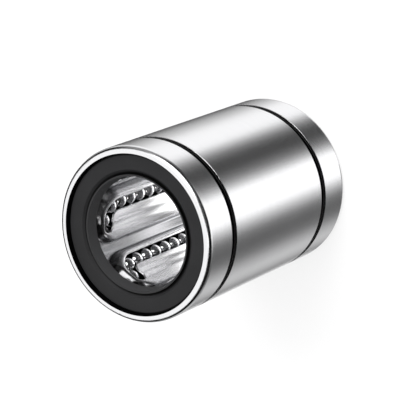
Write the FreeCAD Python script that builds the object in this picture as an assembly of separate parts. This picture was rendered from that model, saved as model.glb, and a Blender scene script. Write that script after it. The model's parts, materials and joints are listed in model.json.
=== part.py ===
import FreeCAD, Part
import math
import os

os.makedirs("parts", exist_ok=True)

# A sealed linear ball bearing. Lengths are millimetres and +Z is the axis of the bore.
# The origin is the centre of the lower end face, and the bearing stands on that face.

# Main sizes of a bearing for a 25 mm shaft: 40 mm outside and 59 mm long
SHAFT_D = 25.0
SLEEVE_WALL = 3.91      # of the ground sleeve behind the load balls
LENGTH = 59.0
GROOVE_SPAN = 41.0      # over the outer walls of the two ring grooves
GROOVE_WIDTH = 1.85
GROOVE_DEPTH = 1.0
GROOVE_CHAMFER = 0.1    # at the two edges of each ring groove
RIM_ROUND = 1.2         # rounding of the outer edge at each end

# Balls and their circuits
BALL_D = 3.572
CIRCUITS = 6
TURN_BALLS = 3          # balls in each half turn
TURN_GAP = 0.057        # between neighbouring balls in a turn
RACE_CLEARANCE = 0.018  # load ball to the ground bore
TRACK_CLEARANCE = 0.07  # ball to its return track in the sleeve

# Pressed steel ball retainer
SHEET = 0.4
SHAFT_GAP = 0.3         # shaft to the pads of the retainer
SEAT_GAP = 0.09         # retainer to the bore that it sits in
SLOT_WIDTH = 3.0
SLOT_TURN = 104.0       # degrees of each half turn that the slot follows
SLOT_ROUND = 0.2        # coined rounding that holds the balls, on the side of the shaft
PAD_MARGIN = 2.5        # pad edge beyond the line of the load balls
PAD_BACK = 1.75         # pad edge beyond the line of the return balls
PAD_DRAFT = 33.0        # slope of the pad walls, degrees from the pull direction
PAD_FLAT = 12.0         # azimuth past the load line where the pad turns flat, degrees
PRESS_ROUND = 0.6       # inside radius of the bends round a pad

# Ends: seal, side ring and the retainer collar inside it
END_WALL = 2.0          # sleeve wall round the seal
MOUTH_WIDEN = 0.35      # the cone that leads the seal in, at the end face
FACE_RECESS = 1.0       # seal's face below the end face
SEAL_THICK = 2.2
RING_THICK = 1.5
PRESS_GAP = 0.02        # seals and side rings to the sleeve
RING_BORE_GAP = 0.05    # side ring to the retainer collar
COLLAR_GAP = 0.1        # retainer collar to the back of the seal
COLLAR_LAND = 0.85      # plain collar between its end and the feet of the pads
EDGE_CHAMFER = 0.25     # on the outer edges of seals and side rings
LIP_CLEARANCE = 0.01
LIP_DEPTH = 3.6         # lip edge below the end face
LIP_LAND = 0.3
LIP_WALL = 0.45
LIP_HEIGHT = 0.95       # from the shaft to the outer edge of the lip's rim
LIP_RIM = 0.35          # flat rim on top of the lip
DISH_WIDTH = 1.1        # of the dished groove round the lip
DISH_DEPTH = 0.9
SEAL_LEDGE = 0.6        # seal's back face inside the retainer collar

# Sizes worked out from the ones above
SHAFT_R = SHAFT_D / 2
BALL_R = BALL_D / 2
LOAD_R = SHAFT_R + BALL_R
BORE_R = LOAD_R + BALL_R + RACE_CLEARANCE
OUTER_R = BORE_R + SLEEVE_WALL
TURN_R = (BALL_D + TURN_GAP) / (2 * math.sin(math.pi / (2 * TURN_BALLS)))
PITCH = math.pi * TURN_R / TURN_BALLS
RETURN_Y = 2 * TURN_R
COLLAR_R = BORE_R - SEAT_GAP
LIP_RIM_R = SHAFT_R + LIP_HEIGHT
SEAL_BACK_R = COLLAR_R - SHEET - SEAL_LEDGE
PAD_R = SHAFT_R + SHAFT_GAP
TOOL_R = 0.8 * PAD_R     # cutters for the sheet start here, well inside the bore
SEAT_R = OUTER_R - END_WALL
SHOULDER = FACE_RECESS + SEAL_THICK + RING_THICK
COLLAR_END = FACE_RECESS + SEAL_THICK + COLLAR_GAP
DRAFT = math.tan(math.radians(PAD_DRAFT))
PAD_FOOT = PAD_MARGIN + (COLLAR_R - PAD_R) * DRAFT
APEX_LIMIT = COLLAR_END + COLLAR_LAND + PAD_FOOT
LOAD_BALLS = int((LENGTH - 2 * (APEX_LIMIT + TURN_R)) / PITCH)
STRAIGHT = LOAD_BALLS * PITCH
MIDDLE = LENGTH / 2
TRACK_LOW = MIDDLE - STRAIGHT / 2
TRACK_HIGH = MIDDLE + STRAIGHT / 2

# A circuit is drawn flat, with X across it, Y along the bearing and Z outwards.
STAND_UP = FreeCAD.Placement(FreeCAD.Vector(), FreeCAD.Rotation(FreeCAD.Vector(1, 1, 1), 120))
AXIS = FreeCAD.Vector(0, 0, 1)


def to_circuit(shape, index):
    """Stand a shape drawn flat up at one circuit's place round the bore."""
    placed = shape.copy()
    turn = FreeCAD.Placement(FreeCAD.Vector(), FreeCAD.Rotation(AXIS, index * 360 / CIRCUITS))
    placed.Placement = turn.multiply(STAND_UP).multiply(placed.Placement)
    return placed


def line(start, end):
    return Part.LineSegment(FreeCAD.Vector(*start), FreeCAD.Vector(*end)).toShape()


def arc(centre, radius, first, last, height):
    """An arc in a plane of constant Z, from one angle to another in degrees."""
    points = []
    for share in (0, 0.5, 1):
        angle = math.radians(first + (last - first) * share)
        x = centre[0] + radius * math.cos(angle)
        y = centre[1] + radius * math.sin(angle)
        points.append(FreeCAD.Vector(x, y, height))
    return Part.Arc(*points).toShape()


def lathe(points):
    """Turn a closed outline of (radius, height) points about the Z axis."""
    corners = [FreeCAD.Vector(radius, 0, height) for radius, height in points]
    face = Part.Face(Part.makePolygon(corners + corners[:1]))
    return face.revolve(FreeCAD.Vector(), AXIS, 360)


def cylinder(radius, low, high):
    return Part.makeCylinder(radius, high - low, FreeCAD.Vector(0, 0, low))


def at_other_end(shape):
    """The same piece at the lower end, turned over end for end."""
    turned = shape.copy()
    turned.rotate(FreeCAD.Vector(0, 0, MIDDLE), FreeCAD.Vector(1, 0, 0), 180)
    return turned


def sleeve_blank():
    """The ground sleeve before its ball tracks: rounded ends, ring grooves and end seats."""
    body = cylinder(OUTER_R, 0, LENGTH)
    rims = [edge for edge in body.Edges if edge.Closed and edge.Length > 1]
    body = body.makeFillet(RIM_ROUND, rims)
    groove_r = OUTER_R - GROOVE_DEPTH
    wall_r = OUTER_R - GROOVE_CHAMFER
    high = MIDDLE + GROOVE_SPAN / 2
    low = high - GROOVE_WIDTH
    groove = lathe([
        (groove_r, low), (wall_r, low), (OUTER_R + 1, low - GROOVE_CHAMFER - 1),
        (OUTER_R + 1, high + GROOVE_CHAMFER + 1), (wall_r, high), (groove_r, high)])
    body = body.cut(groove).cut(at_other_end(groove))
    mouth_r = SEAT_R + MOUTH_WIDEN
    seat = lathe([
        (0, LENGTH + 1), (mouth_r, LENGTH + 1), (mouth_r, LENGTH),
        (SEAT_R, LENGTH - FACE_RECESS), (SEAT_R, LENGTH - SHOULDER), (0, LENGTH - SHOULDER)])
    body = body.cut(seat).cut(at_other_end(seat))
    return body.cut(cylinder(BORE_R, 0, LENGTH))


def return_track():
    """The groove that one circuit's balls roll back in: two half turns and a straight run."""
    radius = BALL_R + TRACK_CLEARANCE
    spine = Part.Wire([
        arc((TURN_R, TRACK_LOW), TURN_R, 180, 360, LOAD_R),
        line((RETURN_Y, TRACK_LOW, LOAD_R), (RETURN_Y, TRACK_HIGH, LOAD_R)),
        arc((TURN_R, TRACK_HIGH), TURN_R, 0, 180, LOAD_R)])
    start = FreeCAD.Vector(0, TRACK_LOW, LOAD_R)
    section = Part.Wire(Part.makeCircle(radius, start, FreeCAD.Vector(0, 1, 0)))
    return spine.makePipeShell([section], True, False)


def outer_cylinder():
    body = sleeve_blank()
    track = return_track()
    for index in range(CIRCUITS):
        body = body.cut(to_circuit(track, index))
    return body


def pad_outline(shift, height):
    """The edge of one pad at a radial height, drawn flat, taken in by a shift."""
    grow = (height - PAD_R) * DRAFT - shift
    load_r = TURN_R + PAD_MARGIN + grow
    back_r = TURN_R + PAD_BACK + grow
    offset = load_r - back_r
    top = (TURN_R, TRACK_HIGH)
    low = (TURN_R, TRACK_LOW)
    back_top = (TURN_R, TRACK_HIGH + offset)
    back_low = (TURN_R, TRACK_LOW - offset)
    left = TURN_R - load_r
    right = TURN_R + back_r
    return Part.Wire([
        line((left, TRACK_LOW, height), (left, TRACK_HIGH, height)),
        arc(top, load_r, 180, 90, height),
        arc(back_top, back_r, 90, 0, height),
        line((right, back_top[1], height), (right, back_low[1], height)),
        arc(back_low, back_r, 0, -90, height),
        arc(low, load_r, -90, -180, height)])


def pad(grow):
    """The block that one pad takes out of the round inside of the sheet.

    grow is 0 for the side that faces the shaft and the sheet's thickness for the other side.
    """
    shift = grow / math.cos(math.radians(PAD_DRAFT))
    ends = [pad_outline(shift, height) for height in (TOOL_R, OUTER_R)]
    block = Part.makeLoft(ends, True, True)
    block = to_circuit(block, 0)
    radius = PAD_R + grow
    flat = math.radians(PAD_FLAT)
    tangent = FreeCAD.Vector(radius * math.cos(flat), radius * math.sin(flat), 0)
    along = FreeCAD.Vector(-math.sin(flat), math.cos(flat), 0) * OUTER_R
    start = FreeCAD.Vector(0, -radius, 0)
    middle = FreeCAD.Vector(radius * math.cos(-flat), radius * math.sin(-flat), 0)
    far = tangent + along
    core = Part.Face(Part.Wire([
        Part.Arc(start, middle, tangent).toShape(),
        Part.LineSegment(tangent, far).toShape(),
        Part.LineSegment(far, FreeCAD.Vector()).toShape(),
        Part.LineSegment(FreeCAD.Vector(), start).toShape()]))
    return block.cut(core.extrude(AXIS * LENGTH))


def bends(body, grow):
    """The edges to bend round: where the pads leave the round sheet, and where they turn flat."""
    feet = []
    crowns = []
    flat = math.radians(PAD_FLAT)
    for edge in body.Edges:
        middle = edge.valueAt((edge.FirstParameter + edge.LastParameter) / 2)
        radius = math.hypot(middle.x, middle.y)
        azimuth = math.atan2(middle.y, middle.x) % math.radians(360 / CIRCUITS)
        if azimuth > math.radians(180 / CIRCUITS) * 1.4:
            azimuth -= math.radians(360 / CIRCUITS)
        reach = radius * math.cos(max(azimuth - flat, 0))
        upright = abs(edge.tangentAt(edge.FirstParameter).z) > 0.999
        in_track = COLLAR_END + 0.01 < middle.z < LENGTH - COLLAR_END - 0.01
        if not in_track:
            continue
        if abs(radius - (COLLAR_R - SHEET + grow)) < 0.001:
            if not (upright and abs(azimuth) < 0.001):
                feet.append(edge)
        elif abs(reach - (PAD_R + grow)) < 0.001:
            if not (upright and abs(azimuth - flat) < 0.001):
                crowns.append(edge)
    return feet, crowns


def retainer_side(grow):
    """One side of the pressed sheet as a full body: a round bar with six pads pressed in."""
    body = cylinder(COLLAR_R - SHEET + grow, COLLAR_END, LENGTH - COLLAR_END)
    for index in range(CIRCUITS):
        pressed = pad(grow)
        pressed.rotate(FreeCAD.Vector(), AXIS, index * 360 / CIRCUITS)
        body = body.cut(pressed)
    crowns = bends(body, grow)[1]
    body = body.makeFillet(PRESS_ROUND + SHEET - grow, crowns)
    feet = bends(body, grow)[0]
    return body.makeFillet(PRESS_ROUND + grow, feet)


def ball_slot():
    """One slot, drawn flat: along the load balls and round both turns past their crowns."""
    half = SLOT_WIDTH / 2
    end = 180 - SLOT_TURN
    edges = []
    for centre_y, sign in ((TRACK_HIGH, 1), (TRACK_LOW, -1)):
        centre = (TURN_R, centre_y)
        angle = math.radians(end)
        tip = (TURN_R + TURN_R * math.cos(angle), centre_y + sign * TURN_R * math.sin(angle))
        edges.append(arc(centre, TURN_R + half, sign * 180, sign * end, TOOL_R))
        edges.append(arc(tip, half, sign * end, sign * (end - 180), TOOL_R))
        edges.append(arc(centre, TURN_R - half, sign * end, sign * 180, TOOL_R))
    edges.append(line((-half, TRACK_LOW, TOOL_R), (-half, TRACK_HIGH, TOOL_R)))
    edges.append(line((half, TRACK_LOW, TOOL_R), (half, TRACK_HIGH, TOOL_R)))
    face = Part.Face(Part.Wire(Part.__sortEdges__(edges)))
    return face.extrude(FreeCAD.Vector(0, 0, LOAD_R - TOOL_R))


def pad_height(x):
    """How far out the shaft side of a pad stands, at a place across it in the flat drawing."""
    flat = math.radians(PAD_FLAT)
    bend = PAD_R * math.sin(flat)
    if x < bend:
        return math.sqrt(PAD_R ** 2 - x ** 2)
    return PAD_R * math.cos(flat) - (x - bend) * math.tan(flat)


def slot_edges(sheet):
    """The edges round every slot on the side of the shaft."""
    found = []
    step = 360 / CIRCUITS
    for edge in sheet.Edges:
        middle = edge.valueAt((edge.FirstParameter + edge.LastParameter) / 2)
        azimuth = math.degrees(math.atan2(middle.y, middle.x))
        # A slot starts less than 10 degrees before the line of its load balls.
        index = math.floor((azimuth + 10) / step)
        turned = FreeCAD.Rotation(AXIS, -index * step).multVec(middle)
        if abs(turned.x - pad_height(turned.y)) > 0.01:
            continue
        past = max(turned.z - TRACK_HIGH, TRACK_LOW - turned.z, 0)
        round_turn = math.hypot(turned.y - TURN_R, past) - TURN_R if past else turned.y
        tip = math.radians(180 - SLOT_TURN)
        tip_y = TURN_R + TURN_R * math.cos(tip)
        from_tip = math.hypot(turned.y - tip_y, past - TURN_R * math.sin(tip))
        if abs(abs(round_turn) - SLOT_WIDTH / 2) < 0.01 or abs(from_tip - SLOT_WIDTH / 2) < 0.01:
            found.append(edge)
    return found


def ball_retainer():
    sheet = retainer_side(SHEET).cut(retainer_side(0))
    slot = ball_slot()
    for index in range(CIRCUITS):
        sheet = sheet.cut(to_circuit(slot, index))
    return sheet.makeFillet(SLOT_ROUND, slot_edges(sheet))


def side_ring():
    """The steel ring that closes the end of the tracks and centres the retainer's collar."""
    low = LENGTH - SHOULDER
    high = low + RING_THICK
    inner = COLLAR_R + RING_BORE_GAP
    outer = SEAT_R - PRESS_GAP
    return lathe([
        (inner, low), (outer - EDGE_CHAMFER, low), (outer, low + EDGE_CHAMFER),
        (outer, high), (inner, high)])


def seal():
    """The rubber seal at the upper end, with one lip that leans inwards to the shaft."""
    face = LENGTH - FACE_RECESS
    back = face - SEAL_THICK
    outer = SEAT_R - PRESS_GAP
    lip_r = SHAFT_R + LIP_CLEARANCE
    lip = LENGTH - LIP_DEPTH
    return lathe([
        (outer, back), (outer, face - EDGE_CHAMFER), (outer - EDGE_CHAMFER, face),
        (LIP_RIM_R + DISH_WIDTH, face), (LIP_RIM_R, face - DISH_DEPTH), (LIP_RIM_R, face),
        (LIP_RIM_R - LIP_RIM, face), (lip_r, lip + LIP_LAND), (lip_r, lip),
        (lip_r + LIP_WALL, lip), (SEAL_BACK_R - 2 * LIP_WALL, back), (SEAL_BACK_R, back)])


def ball(x, y):
    """One ball, drawn flat at a place on its circuit."""
    return Part.makeSphere(BALL_R, FreeCAD.Vector(x, y, LOAD_R))


def ball_row(x):
    steps = range(LOAD_BALLS)
    return Part.makeCompound([ball(x, TRACK_LOW + (step + 0.5) * PITCH) for step in steps])


def turn_balls(centre_y, sign):
    balls = []
    for step in range(TURN_BALLS):
        angle = math.pi * (step + 0.5) / TURN_BALLS
        x = TURN_R - TURN_R * math.cos(angle)
        balls.append(ball(x, centre_y + sign * TURN_R * math.sin(angle)))
    return Part.makeCompound(balls)


def export(name, shape):
    shape.exportStep("parts/" + name + ".step")


export("outer_cylinder", outer_cylinder())
export("ball_retainer", ball_retainer())
export("side_ring_top", side_ring())
export("side_ring_bottom", at_other_end(side_ring()))
export("seal_top", seal())
export("seal_bottom", at_other_end(seal()))
for circuit in range(CIRCUITS):
    number = str(circuit + 1)
    export("load_balls_" + number, to_circuit(ball_row(0), circuit))
    export("return_balls_" + number, to_circuit(ball_row(RETURN_Y), circuit))
    export("top_turn_balls_" + number, to_circuit(turn_balls(TRACK_HIGH, 1), circuit))
    export("bottom_turn_balls_" + number, to_circuit(turn_balls(TRACK_LOW, -1), circuit))
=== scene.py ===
import json
import math
import bpy
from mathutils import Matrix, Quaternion, Vector


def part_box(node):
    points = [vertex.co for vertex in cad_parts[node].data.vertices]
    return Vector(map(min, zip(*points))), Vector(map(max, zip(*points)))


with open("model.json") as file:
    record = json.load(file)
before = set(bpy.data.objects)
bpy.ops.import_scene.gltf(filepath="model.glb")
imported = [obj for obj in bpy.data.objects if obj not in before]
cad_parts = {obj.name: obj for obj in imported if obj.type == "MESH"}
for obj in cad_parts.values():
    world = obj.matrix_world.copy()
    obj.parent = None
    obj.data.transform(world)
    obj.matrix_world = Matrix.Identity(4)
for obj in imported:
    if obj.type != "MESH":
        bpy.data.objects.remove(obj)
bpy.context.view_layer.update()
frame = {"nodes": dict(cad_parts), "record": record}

MM = 0.001
WHITE = (1.0, 1.0, 1.0, 1.0)
ACROSS = (1, 1, 0)           # a place times this is its offset from the axis of the bore

# Sizes of the bearing, read from the frame, in metres
SLEEVE_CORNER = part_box("outer_cylinder")[1]
SLEEVE_R = SLEEVE_CORNER.x
LENGTH = SLEEVE_CORNER.z

# Camera: a long lens that looks down on the upper end of the standing bearing
CAMERA_AZIMUTH = 37.6        # degrees from +X
CAMERA_ELEVATION = 54.3
CAMERA_DISTANCE = 486.1 * MM  # from the point it looks at
CAMERA_TARGET = Vector((-1.1, 0.7, 29.8)) * MM
CAMERA_ROLL = -111.8         # degrees, so that the bearing lies across the picture
CAMERA_LENS = 188.0          # mm
SENSOR_WIDTH = 36.0          # mm

# Cards and flags that stand round the bearing below the horizon, as (azimuth in degrees,
# brightness). The camera looks down, so the wall of the sleeve shows them as long bands.
STUDIO_RING = (
    (-142.0, 0.05),   # dark gap behind the bearing
    (-126.0, 1.10),   # narrow white strip
    (-111.0, 0.18),
    (-95.0, 0.55),    # grey card
    (-79.0, 0.75),
    (-63.0, 0.53),
    (-47.0, 0.20),
    (-31.0, 0.14),    # black flag
    (-15.0, 0.22),
    (-2.0, 0.80),
    (8.0, 1.55),      # wide white card on the camera's right
    (41.0, 1.55),
    (50.0, 0.65),
    (60.0, 0.22),
    (73.0, 0.08),     # black flag beside the camera
    (86.0, 0.08),
    (97.0, 0.22),
    (105.0, 0.60),
    (114.0, 1.35),    # white card on the left
    (146.0, 1.25),
    (161.0, 0.75),
    (178.0, 0.42),
    (196.0, 0.07))
RING_EDGE = -0.1             # upper edge of the ring, as the sine of its elevation
RING_FULL = -0.3             # the ring is at its full brightness from here down

# Round cards in the sky, as (azimuth, elevation, even within, none past, brightness), with the
# first four in degrees
SKY_CARDS = (
    (217.6, 65.0, 44.0, 51.0, 1.3),   # large white card behind, which the flat of the rim shows
    (92.0, 50.0, 20.0, 27.0, 2.8),    # small white card on the left
    (-8.0, 57.0, 6.0, 9.0, 2.2),      # narrow white card, which the balls show as a spot
    (60.0, 50.0, 38.0, 46.0, 0.06),   # dark grey card above the camera
    (125.0, 12.0, 14.0, 26.0, 0.38))  # grey card low on the left
MATT_LEVEL = 0.75            # of the studio as matt surfaces are lit by it
BACKDROP_LEVEL = 0.98        # of the studio as the camera sees it

# Lamps, as (name, azimuth, elevation, distance in metres, side in metres, watts)
SOFTBOXES = (
    ("softbox_high", 110.0, 50.0, 0.6, 0.5, 4.0),
    ("softbox_camera", 10.0, 60.0, 0.6, 0.4, 2.0))

# Floor, and the card below the bore
DISC_SIDES = 96
FLOOR_R = 4.0                # metres
FLOOR_GLOW = 0.6             # share of white in the floor that only the camera sees
BORE_CARD_R = 17 * MM
BORE_CARD_DROP = 1 * MM      # below the lower end face
BORE_CARD_LEVEL = 3.0
MIDDLE_LEVEL = 0.15          # brightness of the card's dark middle
MIDDLE_R = 3.5 * MM          # dark within this radius
LIT_R = 5 * MM               # fully lit past this one

# Places on the sleeve that its steel is shaded by
RIM_ROUND = 1.2 * MM         # rounding of the outer edges
WALL_SKIN = 0.02 * MM        # the ground wall lies within this of the outer radius
MOUTH_R = SLEEVE_R - 1.64 * MM        # all within this radius is the inside of the sleeve
GROOVE_EDGE_R = SLEEVE_R - 0.12 * MM  # the ring grooves lie between this radius and the next
GROOVE_FLOOR_R = SLEEVE_R - 1.4 * MM
GROOVE_START = 3 * MM        # and further than this from the end faces
SHADE_EDGE_R = SLEEVE_R - 0.25 * MM   # the grooves' painted shade, near black, begins at this radius
SHADE_FULL_R = SLEEVE_R - 0.8 * MM    # and is full at this one
# roughness of the grooves and the inside of the sleeve, where the shade is painted
SHADED_ROUGHNESS = 0.5

# Places on the retainer that its sheet is shaded by
PAD_R = 14.3 * MM            # the pads end at this radius, where the painted shade between them begins
SHEET_ROUND_R = 15.3 * MM    # and the painted shade is full at this one
PAD_DEPTH = 7.15 * MM        # the pads begin this far below the end face, where the painted shade at the ends fades out
SHEET_END_DEPTH = 6.95 * MM  # and the painted shade is full at this depth and nearer

# Places on the seals that their rubber is shaded by
LIP_RIM_R = 13.45 * MM       # outer edge of the flat rim on top of the lip
FACE_DEPTH = 1.0 * MM        # seal's face below the end face
# Zones of painted light and shade on the seals: the lip's black foot, its paler inside and its lighter rim
FOOT_RADII = (LIP_RIM_R - 0.15 * MM, LIP_RIM_R + 0.6 * MM)
FOOT_DEPTHS = (FACE_DEPTH + 0.05 * MM, FACE_DEPTH + 1.0 * MM)
LIP_INNER_RADII = (0, LIP_RIM_R - 0.1 * MM)
LIP_INNER_DEPTHS = (FACE_DEPTH + 0.02 * MM, LENGTH)
RIM_RADII = (0, LIP_RIM_R + 0.01 * MM)
RIM_DEPTHS = (0, FACE_DEPTH + 0.02 * MM)

# Sizes of the patterns in the finishes. Those too fine to show are drawn coarser, as noted.
GRIND_PITCH = 0.25 * MM      # grinding marks on the sleeve, which are really about 0.02 mm apart
GRIND_LENGTH = 25 * MM       # how far each mark runs round the sleeve
GRAIN_SIZE = 0.25 * MM       # grain of the sleeve's polish, which is really finer than 0.05 mm
GRAIN_HEIGHT = 0.01 * MM
HAZE_SIZE = 9 * MM           # patches of haze on the sleeve
STREAK_PITCH = 0.4 * MM      # draw marks on the retainer, which are really about 0.1 mm apart
STREAK_LENGTH = 1 / 60       # metres
WAVE_PITCH = 1.6 * MM        # shallow waves that the press leaves on the retainer
WAVE_LENGTH = 200 * MM       # more than the retainer, so each wave runs from end to end
WAVE_HEIGHT = 0.25 * MM
OIL_SIZE = 1.2 * MM          # patches of oil on the balls
FEED_PITCH = 1.2566 * MM     # turning marks on the side rings, which are really 0.1 mm apart
MOULD_GRAIN = 0.25 * MM      # grain of the seals, which is really about 0.05 mm
BLOOM_SIZE = 5 * MM          # patches of bloom on the seals
WAVE_TEXTURE_PERIOD = 2 * math.pi / 20  # from one ring of a wave texture to the next, at scale 1

SHARP_ANGLE = 25.0           # degrees: an edge that turns more than this stays sharp

# Numbers of a Mix node's sockets. It has two inputs and one output for each kind of value.
NUMBER_A, NUMBER_B, VECTOR_A, VECTOR_B, COLOUR_A, COLOUR_B = range(2, 8)
NUMBER_OUT, VECTOR_OUT, COLOUR_OUT = range(3)


def linear(code):
    """An sRGB hex colour as linear red, green, blue and alpha."""
    parts = [int(code[i:i + 2], 16) / 255 for i in (1, 3, 5)]
    return [p / 12.92 if p <= 0.04045 else ((p + 0.055) / 1.055) ** 2.4 for p in parts] + [1.0]


def direction(azimuth, elevation):
    """The unit vector that points at an azimuth and an elevation in degrees."""
    turn = math.radians(azimuth)
    rise = math.radians(elevation)
    return Vector((math.cos(turn) * math.cos(rise), math.sin(turn) * math.cos(rise), math.sin(rise)))


def add_node(tree, kind, settings=None, links=None):
    """Add one node. Settings hold its inputs, by name or number, and its properties.

    Links hold the sources of its other inputs, by name or number too.
    """
    node = tree.nodes.new(kind)
    for name, value in (settings or {}).items():
        if isinstance(name, int) or name in node.inputs:
            node.inputs[name].default_value = value
        else:
            setattr(node, name, value)
    for name, source in (links or {}).items():
        tree.links.new(source, node.inputs[name])
    return node


def fill_ramp(node, stops):
    """Give a colour ramp its grey stops, as (place, brightness)."""
    elements = node.color_ramp.elements
    while len(elements) > 1:
        elements.remove(elements[0])
    for index, (place, level) in enumerate(stops):
        element = elements[0] if index == 0 else elements.new(place)
        element.position = place
        element.color = (level, level, level, 1.0)
    return node.outputs["Color"]


def empty_tree(owner):
    """The node tree of a material or of the world, with no nodes in it."""
    owner.use_nodes = True
    owner.node_tree.nodes.clear()
    return owner.node_tree


def new_material(name):
    """A material that has only a Principled shader, its node tree, and the shader."""
    material = bpy.data.materials.new(name)
    tree = empty_tree(material)
    shader = add_node(tree, "ShaderNodeBsdfPrincipled")
    add_node(tree, "ShaderNodeOutputMaterial", links={"Surface": shader.outputs["BSDF"]})
    return material, tree, shader


def radius_and_depth(tree, place):
    """The distance from the axis of the bore, and the depth below the nearer end face."""
    across = add_node(tree, "ShaderNodeVectorMath", {"operation": "MULTIPLY", 1: ACROSS}, {0: place})
    radius = add_node(tree, "ShaderNodeVectorMath", {"operation": "LENGTH"}, {0: across.outputs[0]})
    height = add_node(tree, "ShaderNodeSeparateXYZ", links={"Vector": place}).outputs["Z"]
    above = add_node(tree, "ShaderNodeMath", {"operation": "SUBTRACT", 0: LENGTH}, {1: height})
    depth = add_node(tree, "ShaderNodeMath", {"operation": "MINIMUM"}, {0: height, 1: above.outputs[0]})
    return radius.outputs["Value"], depth.outputs[0]


def between(tree, value, low, high):
    """1 where a value lies between two limits, and 0 elsewhere."""
    above = add_node(tree, "ShaderNodeMath", {"operation": "GREATER_THAN", 1: low}, {0: value})
    below = add_node(tree, "ShaderNodeMath", {"operation": "LESS_THAN", 1: high}, {0: value})
    both = add_node(tree, "ShaderNodeMath", {"operation": "MULTIPLY"},
                    {0: above.outputs[0], 1: below.outputs[0]})
    return both.outputs[0]


def in_zone(tree, radius, depth, radii, depths):
    """1 where the radius and the depth both lie between their two limits, and 0 elsewhere."""
    both = add_node(tree, "ShaderNodeMath", {"operation": "MULTIPLY"},
                    {0: between(tree, radius, *radii), 1: between(tree, depth, *depths)})
    return both.outputs[0]


def lay_over(tree, colour, layers):
    """Lay colours over one another, each as far as its mask says. Layers are (mask, colour)."""
    for mask, shade in layers:
        mix = add_node(tree, "ShaderNodeMix", {"data_type": "RGBA", COLOUR_B: linear(shade)},
                       {"Factor": mask, COLOUR_A: colour})
        colour = mix.outputs[COLOUR_OUT]
    return colour


def painted_shade_on_sleeve(tree, radius, depth):
    """Where the shade is painted: 1 inside the sleeve and deep in its two ring grooves, and 0 on its ground
    faces.
    """
    groove = in_zone(tree, radius, depth, (GROOVE_FLOOR_R, GROOVE_EDGE_R), (GROOVE_START, LENGTH))
    deep = add_node(tree, "ShaderNodeMapRange", {"From Min": SHADE_EDGE_R, "From Max": SHADE_FULL_R},
                    {"Value": radius})
    grooves = add_node(tree, "ShaderNodeMath", {"operation": "MULTIPLY"},
                       {0: deep.outputs["Result"], 1: groove})
    painted_shade = add_node(tree, "ShaderNodeMath", {"operation": "MAXIMUM"},
                     {0: grooves.outputs[0], 1: between(tree, radius, 0, MOUTH_R)})
    return painted_shade.outputs[0]


def sleeve_normal(tree, place, radius, depth):
    """The way each point of the sleeve faces.

    The ground wall faces straight out from the axis all round, so its shine shows no seam.
    """
    across = add_node(tree, "ShaderNodeVectorMath", {"operation": "MULTIPLY", 1: ACROSS}, {0: place})
    outward = add_node(tree, "ShaderNodeVectorMath", {"operation": "NORMALIZE"}, {0: across.outputs[0]})
    wall = in_zone(tree, radius, depth, (SLEEVE_R - WALL_SKIN, SLEEVE_R + WALL_SKIN), (RIM_ROUND, LENGTH))
    normal = add_node(tree, "ShaderNodeNewGeometry").outputs["Normal"]
    facing = add_node(tree, "ShaderNodeMix", {"data_type": "VECTOR"},
                      {"Factor": wall, VECTOR_A: normal, VECTOR_B: outward.outputs[0]})
    return facing.outputs[VECTOR_OUT]


def ground_bearing_steel():
    """Hardened steel, ground round its axis: bright, with fine marks that run round the sleeve.

    The ring grooves and the inside of the sleeve get a painted shade, near black, and are rougher. The ground
    ball tracks hardly show between the balls, so they take the same painted shade.
    """
    material, tree, shader = new_material("ground_bearing_steel")
    place = add_node(tree, "ShaderNodeTexCoord").outputs["Object"]
    radius, depth = radius_and_depth(tree, place)
    painted_shade = painted_shade_on_sleeve(tree, radius, depth)
    marks_place = add_node(tree, "ShaderNodeMapping",
                           {"Scale": (1 / GRIND_LENGTH, 1 / GRIND_LENGTH, 1 / GRIND_PITCH)},
                           {"Vector": place})
    marks = add_node(tree, "ShaderNodeTexNoise", {"Scale": 1.0, "Detail": 3.0},
                     {"Vector": marks_place.outputs["Vector"]})
    colour = add_node(tree, "ShaderNodeMix",
                      {"data_type": "RGBA", COLOUR_A: linear("#D6D6D8"), COLOUR_B: linear("#E2E2E3")},
                      {"Factor": marks.outputs["Fac"]})
    haze = add_node(tree, "ShaderNodeTexNoise", {"Scale": 1 / HAZE_SIZE, "Detail": 4.0}, {"Vector": place})
    polish = add_node(tree, "ShaderNodeMapRange", {"To Min": 0.17, "To Max": 0.23},
                      {"Value": haze.outputs["Fac"]})
    rough = add_node(tree, "ShaderNodeMix", {NUMBER_B: SHADED_ROUGHNESS},
                     {"Factor": painted_shade, NUMBER_A: polish.outputs["Result"]})
    grinding = add_node(tree, "ShaderNodeBump", {"Strength": 0.05, "Distance": 0.02 * MM},
                        {"Height": marks.outputs["Fac"], "Normal": sleeve_normal(tree, place, radius, depth)})
    grain = add_node(tree, "ShaderNodeTexNoise", {"Scale": 1 / GRAIN_SIZE, "Detail": 1.0}, {"Vector": place})
    bump = add_node(tree, "ShaderNodeBump", {"Strength": 1.0, "Distance": GRAIN_HEIGHT},
                    {"Height": grain.outputs["Fac"], "Normal": grinding.outputs["Normal"]})
    # Painted shade: near black over the ring grooves and the inside of the sleeve
    tree.links.new(lay_over(tree, colour.outputs[COLOUR_OUT], [(painted_shade, "#1A1A1B")]),
                   shader.inputs["Base Color"])
    tree.links.new(rough.outputs[NUMBER_OUT], shader.inputs["Roughness"])
    tree.links.new(bump.outputs["Normal"], shader.inputs["Normal"])
    shader.inputs["Metallic"].default_value = 1.0
    return material


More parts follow.
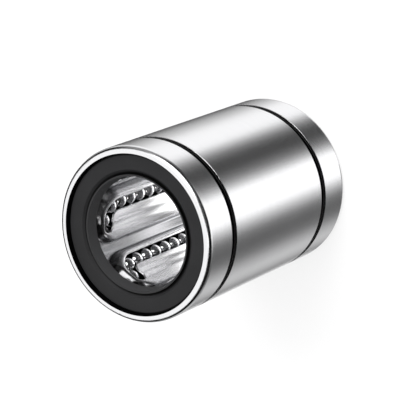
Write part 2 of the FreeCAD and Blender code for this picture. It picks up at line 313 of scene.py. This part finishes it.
def pressed_sheet_steel():
    """Bright cold rolled sheet after pressing: soft streaks and waves along the bore.

    The round of the sheet between the pads and its ends get a painted shade, a darker grey than the pads.
    """
    material, tree, shader = new_material("pressed_sheet_steel")
    place = add_node(tree, "ShaderNodeTexCoord").outputs["Object"]
    streak_place = add_node(tree, "ShaderNodeMapping",
                            {"Scale": (1 / STREAK_PITCH, 1 / STREAK_PITCH, 1 / STREAK_LENGTH)},
                            {"Vector": place})
    streaks = add_node(tree, "ShaderNodeTexNoise", {"Scale": 1.0, "Detail": 3.0},
                       {"Vector": streak_place.outputs["Vector"]})
    rough = add_node(tree, "ShaderNodeMapRange", {"To Min": 0.2, "To Max": 0.3},
                     {"Value": streaks.outputs["Fac"]})
    pads = add_node(tree, "ShaderNodeMix",
                    {"data_type": "RGBA", COLOUR_A: linear("#CFCFD1"), COLOUR_B: linear("#E4E4E5")},
                    {"Factor": streaks.outputs["Fac"]})
    radius, depth = radius_and_depth(tree, place)
    # Painted shade: a darker grey over the round of the sheet between the pads and over its ends
    round_painted_shade = add_node(tree, "ShaderNodeMapRange", {"From Min": PAD_R, "From Max": SHEET_ROUND_R},
                           {"Value": radius})
    end_painted_shade = add_node(tree, "ShaderNodeMapRange", {"From Min": PAD_DEPTH, "From Max": SHEET_END_DEPTH},
                         {"Value": depth})
    colour = lay_over(tree, pads.outputs[COLOUR_OUT], [(round_painted_shade.outputs["Result"], "#9E9EA0"),
                                                       (end_painted_shade.outputs["Result"], "#A0A0A2")])
    drawn = add_node(tree, "ShaderNodeBump", {"Strength": 0.01, "Distance": 0.02 * MM},
                     {"Height": streaks.outputs["Fac"]})
    wave_place = add_node(tree, "ShaderNodeMapping",
                          {"Scale": (1 / WAVE_PITCH, 1 / WAVE_PITCH, 1 / WAVE_LENGTH)}, {"Vector": place})
    waves = add_node(tree, "ShaderNodeTexNoise", {"Scale": 1.0, "Detail": 0.0},
                     {"Vector": wave_place.outputs["Vector"]})
    bump = add_node(tree, "ShaderNodeBump", {"Strength": 1.0, "Distance": WAVE_HEIGHT},
                    {"Height": waves.outputs["Fac"], "Normal": drawn.outputs["Normal"]})
    tree.links.new(colour, shader.inputs["Base Color"])
    tree.links.new(rough.outputs["Result"], shader.inputs["Roughness"])
    tree.links.new(bump.outputs["Normal"], shader.inputs["Normal"])
    shader.inputs["Metallic"].default_value = 1.0
    return material


def lapped_ball_steel():
    """Lapped chromium steel balls: mirror bright, with no marks except a trace of oil."""
    material, tree, shader = new_material("lapped_ball_steel")
    place = add_node(tree, "ShaderNodeTexCoord").outputs["Object"]
    oil = add_node(tree, "ShaderNodeTexNoise", {"Scale": 1 / OIL_SIZE, "Detail": 2.0}, {"Vector": place})
    rough = add_node(tree, "ShaderNodeMapRange", {"To Min": 0.05, "To Max": 0.12},
                     {"Value": oil.outputs["Fac"]})
    colour = add_node(tree, "ShaderNodeMix",
                      {"data_type": "RGBA", COLOUR_A: linear("#DCDCDE"), COLOUR_B: linear("#EBEBEC")},
                      {"Factor": oil.outputs["Fac"]})
    tree.links.new(colour.outputs[COLOUR_OUT], shader.inputs["Base Color"])
    tree.links.new(rough.outputs["Result"], shader.inputs["Roughness"])
    shader.inputs["Metallic"].default_value = 1.0
    return material


def turned_ring_steel():
    """Mild steel turned on a lathe: a satin grey with fine rings."""
    material, tree, shader = new_material("turned_ring_steel")
    place = add_node(tree, "ShaderNodeTexCoord").outputs["Object"]
    rings = add_node(tree, "ShaderNodeTexWave",
                     {"wave_type": "RINGS", "rings_direction": "Z",
                      "Scale": WAVE_TEXTURE_PERIOD / FEED_PITCH, "Distortion": 0.4}, {"Vector": place})
    rough = add_node(tree, "ShaderNodeMapRange", {"To Min": 0.28, "To Max": 0.42},
                     {"Value": rings.outputs["Fac"]})
    bump = add_node(tree, "ShaderNodeBump", {"Strength": 0.2, "Distance": 0.01 * MM},
                    {"Height": rings.outputs["Fac"]})
    shader.inputs["Base Color"].default_value = linear("#B4B4B6")
    tree.links.new(rough.outputs["Result"], shader.inputs["Roughness"])
    tree.links.new(bump.outputs["Normal"], shader.inputs["Normal"])
    shader.inputs["Metallic"].default_value = 1.0
    return material


def moulded_nitrile():
    """Nitrile rubber from a fine blasted mould: dark grey and matt, with a faint even grain.

    The foot of the lip gets a painted shade, black. The inside of the lip is painted paler as light, and the
    flat rim on top of the lip gets a painted highlight.
    """
    material, tree, shader = new_material("moulded_nitrile")
    place = add_node(tree, "ShaderNodeTexCoord").outputs["Object"]
    bloom = add_node(tree, "ShaderNodeTexNoise", {"Scale": 1 / BLOOM_SIZE, "Detail": 3.0}, {"Vector": place})
    colour = add_node(tree, "ShaderNodeMix",
                      {"data_type": "RGBA", COLOUR_A: linear("#161617"), COLOUR_B: linear("#1E1E1F")},
                      {"Factor": bloom.outputs["Fac"]})
    radius, depth = radius_and_depth(tree, place)
    # Painted light and shade: black shade at the foot of the lip, a paler inside of the lip, and a highlight
    # on its rim
    painted_light_zones = ((FOOT_RADII, FOOT_DEPTHS, "#050505"), (LIP_INNER_RADII, LIP_INNER_DEPTHS, "#343435"),
             (RIM_RADII, RIM_DEPTHS, "#242425"))
    layers = [(in_zone(tree, radius, depth, radii, depths), shade) for radii, depths, shade in painted_light_zones]
    grain = add_node(tree, "ShaderNodeTexNoise", {"Scale": 1 / MOULD_GRAIN, "Detail": 4.0}, {"Vector": place})
    bump = add_node(tree, "ShaderNodeBump", {"Strength": 0.3, "Distance": 0.03 * MM},
                    {"Height": grain.outputs["Fac"]})
    tree.links.new(lay_over(tree, colour.outputs[COLOUR_OUT], layers), shader.inputs["Base Color"])
    tree.links.new(bump.outputs["Normal"], shader.inputs["Normal"])
    shader.inputs["Roughness"].default_value = 0.6
    shader.inputs["Specular IOR Level"].default_value = 0.2
    return material


def dress_frame():
    """Give every CAD node the finish of its material slot, and smooth its round faces."""
    finishes = {
        "bearing_steel": ground_bearing_steel(),
        "retainer_steel": pressed_sheet_steel(),
        "ball_steel": lapped_ball_steel(),
        "ring_steel": turned_ring_steel(),
        "seal_rubber": moulded_nitrile()}
    for part in frame["record"]["subparts"]:
        node = frame["nodes"][part["node"]]
        node.data.materials.clear()
        node.data.materials.append(finishes[part["material_slot"]])
        node.data.shade_smooth()
        node.data.set_sharp_from_angle(angle=math.radians(SHARP_ANGLE))


def stage_disc(name, radius, height):
    """A flat round piece of the studio, and the empty node tree of its material."""
    bpy.ops.mesh.primitive_circle_add(vertices=DISC_SIDES, radius=radius, fill_type="NGON",
                                      location=(0, 0, height))
    disc = bpy.context.object
    disc.name = name
    material = bpy.data.materials.new(name)
    disc.data.materials.append(material)
    return disc, empty_tree(material)


def build_floor():
    """A pale floor that keeps the soft shadow of the bearing. Steel doesn't show it."""
    floor, tree = stage_disc("floor", FLOOR_R, 0)
    seen = add_node(tree, "ShaderNodeLightPath").outputs["Is Camera Ray"]
    matt = add_node(tree, "ShaderNodeBsdfDiffuse", {"Color": linear("#E6E6E6")})
    glow = add_node(tree, "ShaderNodeEmission", {"Color": WHITE}, {"Strength": seen})
    both = add_node(tree, "ShaderNodeMixShader", {0: FLOOR_GLOW},
                    {1: matt.outputs["BSDF"], 2: glow.outputs["Emission"]})
    add_node(tree, "ShaderNodeOutputMaterial", links={"Surface": both.outputs["Shader"]})
    floor.visible_glossy = False


def build_bore_card():
    """A lit card below the bore, dark in the middle. Only polished steel shows it."""
    card, tree = stage_disc("bore_card", BORE_CARD_R, -BORE_CARD_DROP)
    place = add_node(tree, "ShaderNodeTexCoord").outputs["Object"]
    radius = add_node(tree, "ShaderNodeVectorMath", {"operation": "LENGTH"}, {0: place})
    level = add_node(tree, "ShaderNodeMapRange",
                     {"From Min": MIDDLE_R, "From Max": LIT_R,
                      "To Min": MIDDLE_LEVEL, "To Max": BORE_CARD_LEVEL},
                     {"Value": radius.outputs["Value"]})
    glow = add_node(tree, "ShaderNodeEmission", {"Color": WHITE}, {"Strength": level.outputs["Result"]})
    add_node(tree, "ShaderNodeOutputMaterial", links={"Surface": glow.outputs["Emission"]})
    card.visible_camera = False
    card.visible_diffuse = False
    card.visible_shadow = False
    card.visible_transmission = False


def round_card(tree, way, azimuth, elevation, full, fade, level):
    """Brightness of a round card in the sky: even within one angle of its centre, none past another."""
    nearness = add_node(tree, "ShaderNodeVectorMath",
                        {"operation": "DOT_PRODUCT", 1: direction(azimuth, elevation)}, {0: way})
    card = add_node(tree, "ShaderNodeMapRange",
                    {"From Min": math.cos(math.radians(fade)), "From Max": math.cos(math.radians(full)),
                     "To Max": level}, {"Value": nearness.outputs["Value"]})
    return card.outputs["Result"]


def ring_of_cards(tree, way):
    """Brightness of the cards that stand round the bearing, which fades out towards the horizon."""
    parts = add_node(tree, "ShaderNodeSeparateXYZ", links={"Vector": way})
    turn = add_node(tree, "ShaderNodeMath", {"operation": "ARCTAN2"},
                    {0: parts.outputs["Y"], 1: parts.outputs["X"]})
    start = STUDIO_RING[0][0]
    place = add_node(tree, "ShaderNodeMath", {"operation": "SUBTRACT", 1: math.radians(start)},
                     {0: turn.outputs[0]})
    share = add_node(tree, "ShaderNodeMath", {"operation": "DIVIDE", 1: 2 * math.pi}, {0: place.outputs[0]})
    wrapped = add_node(tree, "ShaderNodeMath", {"operation": "FRACT"}, {0: share.outputs[0]})
    ramp = add_node(tree, "ShaderNodeValToRGB", links={"Fac": wrapped.outputs[0]})
    ring = fill_ramp(ramp, [((azimuth - start) / 360, level) for azimuth, level in STUDIO_RING])
    below = add_node(tree, "ShaderNodeMapRange", {"From Min": RING_EDGE, "From Max": RING_FULL},
                     {"Value": parts.outputs["Z"]})
    return add_node(tree, "ShaderNodeMath", {"operation": "MULTIPLY"},
                    {0: ring, 1: below.outputs["Result"]}).outputs[0]


def build_studio():
    """The world: white to the camera, plain to matt surfaces, and cards in the dark to steel."""
    world = bpy.data.worlds.new("studio")
    bpy.context.scene.world = world
    tree = empty_tree(world)
    rays = add_node(tree, "ShaderNodeLightPath")
    way = add_node(tree, "ShaderNodeTexCoord").outputs["Generated"]
    cards = ring_of_cards(tree, way)
    for card in SKY_CARDS:
        cards = add_node(tree, "ShaderNodeMath", {"operation": "ADD"},
                         {0: cards, 1: round_card(tree, way, *card)}).outputs[0]
    lit = add_node(tree, "ShaderNodeMix", {NUMBER_A: MATT_LEVEL},
                   {"Factor": rays.outputs["Is Glossy Ray"], NUMBER_B: cards})
    seen = add_node(tree, "ShaderNodeMix", {NUMBER_B: BACKDROP_LEVEL},
                    {"Factor": rays.outputs["Is Camera Ray"], NUMBER_A: lit.outputs[NUMBER_OUT]})
    background = add_node(tree, "ShaderNodeBackground", {"Color": WHITE},
                          {"Strength": seen.outputs[NUMBER_OUT]})
    add_node(tree, "ShaderNodeOutputWorld", links={"Surface": background.outputs["Background"]})


def add_softbox(name, azimuth, elevation, distance, side, power):
    """A square soft lamp that points at the bearing. Steel shows the cards and not the lamps."""
    lamp = bpy.data.lights.new(name, "AREA")
    lamp.shape = "SQUARE"
    lamp.size = side
    lamp.energy = power
    box = bpy.data.objects.new(name, lamp)
    bpy.context.scene.collection.objects.link(box)
    way = direction(azimuth, elevation)
    box.location = Vector((0, 0, LENGTH / 2)) + way * distance
    box.rotation_euler = (-way).to_track_quat("-Z", "Y").to_euler()
    box.visible_glossy = False


def place_camera():
    """Set the camera at the photograph's angle, rolled so that the bearing lies across it."""
    camera = bpy.data.cameras.new("camera")
    camera.lens = CAMERA_LENS
    camera.sensor_width = SENSOR_WIDTH
    camera.clip_start = 10 * MM
    holder = bpy.data.objects.new("camera", camera)
    bpy.context.scene.collection.objects.link(holder)
    way = direction(CAMERA_AZIMUTH, CAMERA_ELEVATION)
    holder.location = CAMERA_TARGET + way * CAMERA_DISTANCE
    upright = (-way).to_track_quat("-Z", "Y")
    roll = Quaternion((0, 0, 1), math.radians(CAMERA_ROLL))
    holder.rotation_mode = "QUATERNION"
    holder.rotation_quaternion = upright @ roll
    bpy.context.scene.camera = holder


dress_frame()
build_floor()
build_bore_card()
build_studio()
for softbox in SOFTBOXES:
    add_softbox(*softbox)
place_camera()
bpy.context.scene.view_settings.view_transform = "Standard"
